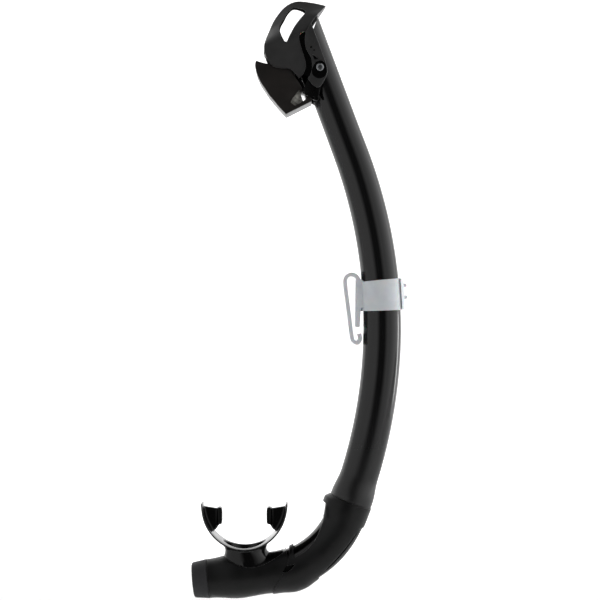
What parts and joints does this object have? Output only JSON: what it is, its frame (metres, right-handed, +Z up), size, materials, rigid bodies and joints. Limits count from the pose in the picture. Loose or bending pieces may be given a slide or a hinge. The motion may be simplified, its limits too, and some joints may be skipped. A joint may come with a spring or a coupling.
{
  "type": "snorkel tube",
  "caption": "Curved dry-top snorkel: float-valve head under a splash hood, strap keeper clip, swivelling elbow with a bite mouthpiece and a purge chamber.",
  "frame": {"origin": "middle of the flat seat on the strap keeper's inner leg, which the mask strap bears on", "axes": "+Z up along the snorkel as it stands with its head up, +X from the mouthpiece towards the back of the tube, +Y sideways, so that XZ is the snorkel's own plane"},
  "size_m": [0.1612, 0.0348, 0.4379],
  "materials": {
    "keeper": "pale grey polyethylene, smooth moulded",
    "tube": "black PVC, polished above and satin at the foot",
    "head": "satin moulded ABS",
    "pin": "turned stainless steel",
    "float": "semi-gloss black-brown polypropylene",
    "gasket": "translucent beige silicone",
    "foam": "closed-cell foam",
    "ring": "acetal",
    "o_ring": "nitrile rubber",
    "shell": "fine spark-eroded texture",
    "silicone": "polished black liquid silicone rubber",
    "cap": "matte moulded ABS"
  },
  "bodies": {
    "keeper": {"strap_keeper": "keeper"},
    "barrel": {"barrel": "tube", "head_body": "head", "splash_hood": "head", "hinge_pin_front": "pin", "hinge_pin_rear": "pin"},
    "float_lever": {"valve_lever": "float", "seal_gasket": "gasket", "float_chamber": "float", "float_cover": "float", "foam_float": "foam"},
    "elbow": {"swivel_ring": "ring", "swivel_o_ring": "o_ring", "elbow_shell": "shell", "silicone_bend": "silicone", "mouthpiece": "silicone", "purge_chamber": "shell", "purge_seat": "ring", "purge_cap": "cap"},
    "purge_valve": {"purge_diaphragm": "gasket"}
  },
  "joints": [
    {"name": "keeper_slide", "type": "hinge", "parent": "keeper", "child": "barrel", "pos_m": [-0.3452, 0, -0.0147], "axis": [0, 1, 0], "range_deg": [-10, 10]},
    {"name": "float_swing", "type": "hinge", "parent": "barrel", "child": "float_lever", "pos_m": [-0.0271, 0, 0.17369], "axis": [0, 1, 0], "range_deg": [0, 15]},
    {"name": "elbow_swivel", "type": "hinge", "parent": "barrel", "child": "elbow", "pos_m": [-0.00425, 0, -0.14218], "axis": [0.3502, 0, 0.9367], "range_deg": [-90, 90]},
    {"name": "purge_flutter", "type": "slide", "parent": "elbow", "child": "purge_valve", "axis": [-0.9951, 0, -0.0993], "range_m": [0, 0.0013], "stiffness_N_per_m": 60}
  ]
}
